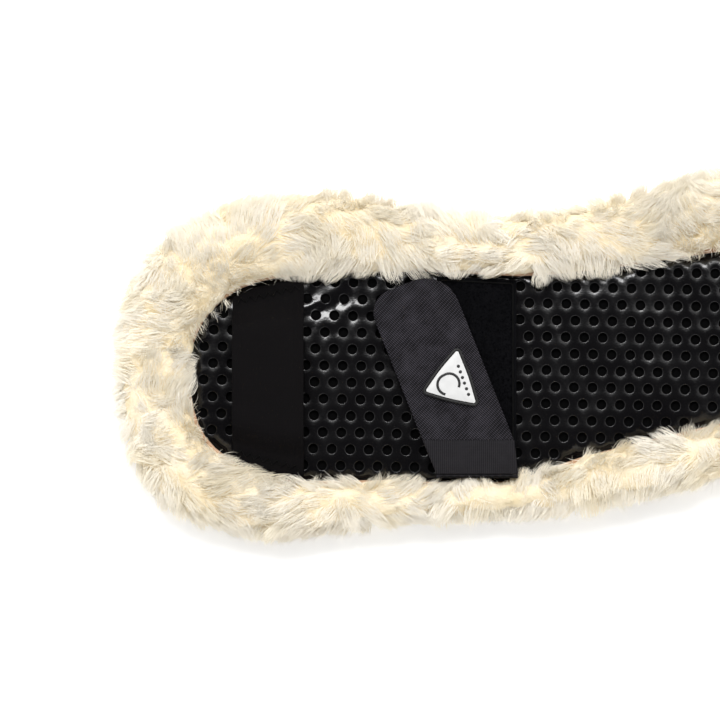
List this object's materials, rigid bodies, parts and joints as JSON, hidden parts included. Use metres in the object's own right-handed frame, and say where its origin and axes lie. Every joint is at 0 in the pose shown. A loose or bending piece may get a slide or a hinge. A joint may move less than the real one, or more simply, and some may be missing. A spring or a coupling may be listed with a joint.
{
  "type": "saddle girth sleeve",
  "caption": "Sheepskin pad with a rolled wool edge and a perforated gel lining, elastic loops for a saddle girth and hook-and-loop closure flaps.",
  "frame": {"origin": "centre of the sleeve's box, on the plane of the wool that rests against the horse", "axes": "+X along the sleeve, +Y towards the horse's head, +Z away from the horse, out of the gel side that takes the girth"},
  "size_m": [0.6948, 0.198, 0.0327],
  "materials": {
    "wool": "matte",
    "gel": "gloss",
    "backing": "matte",
    "elastic": "matte",
    "loop_pile": "matte",
    "flap_webbing": "matte",
    "hook": "matte",
    "thread": "matte",
    "badge_rubber": "satin",
    "badge_white": "satin"
  },
  "bodies": {
    "root": {"sheepskin_lining": "wool", "sheepskin_edge_roll": "wool", "backing_cloth": "backing", "gel_panel": "gel", "perimeter_seam": "thread", "elastic_loop_left": "elastic", "elastic_tack_front_left": "thread", "elastic_tack_rear_left": "thread", "loop_tape_left": "loop_pile", "loop_tape_seam_left": "thread", "flap_anchor_left": "elastic", "flap_anchor_tack_left": "thread", "elastic_loop_right": "elastic", "elastic_tack_front_right": "thread", "elastic_tack_rear_right": "thread", "loop_tape_right": "loop_pile", "loop_tape_seam_right": "thread", "flap_anchor_right": "elastic", "flap_anchor_tack_right": "thread"},
    "tab_left": {"flap_tab_left": "elastic"},
    "flap_left": {"closure_flap_left": "flap_webbing", "hook_tape_left": "hook", "badge_base_left": "badge_rubber", "badge_face_left": "badge_white"},
    "tab_right": {"flap_tab_right": "elastic"},
    "flap_right": {"closure_flap_right": "flap_webbing", "hook_tape_right": "hook", "badge_base_right": "badge_rubber", "badge_face_right": "badge_white"}
  },
  "joints": [
    {"name": "tab_fold_left", "type": "hinge", "parent": "root", "child": "tab_left", "pos_m": [-0.1535, -0.0653, 0.0251], "axis": [1, 0, 0], "range_deg": [0, 90]},
    {"name": "flap_fold_left", "type": "hinge", "parent": "tab_left", "child": "flap_left", "pos_m": [-0.1583, -0.047, 0.0251], "axis": [1, 0, 0], "range_deg": [0, 90]},
    {"name": "tab_fold_right", "type": "hinge", "parent": "root", "child": "tab_right", "pos_m": [0.1535, -0.0653, 0.0251], "axis": [1, 0, 0], "range_deg": [0, 90]},
    {"name": "flap_fold_right", "type": "hinge", "parent": "tab_right", "child": "flap_right", "pos_m": [0.1583, -0.047, 0.0251], "axis": [1, 0, 0], "range_deg": [0, 90]}
  ]
}
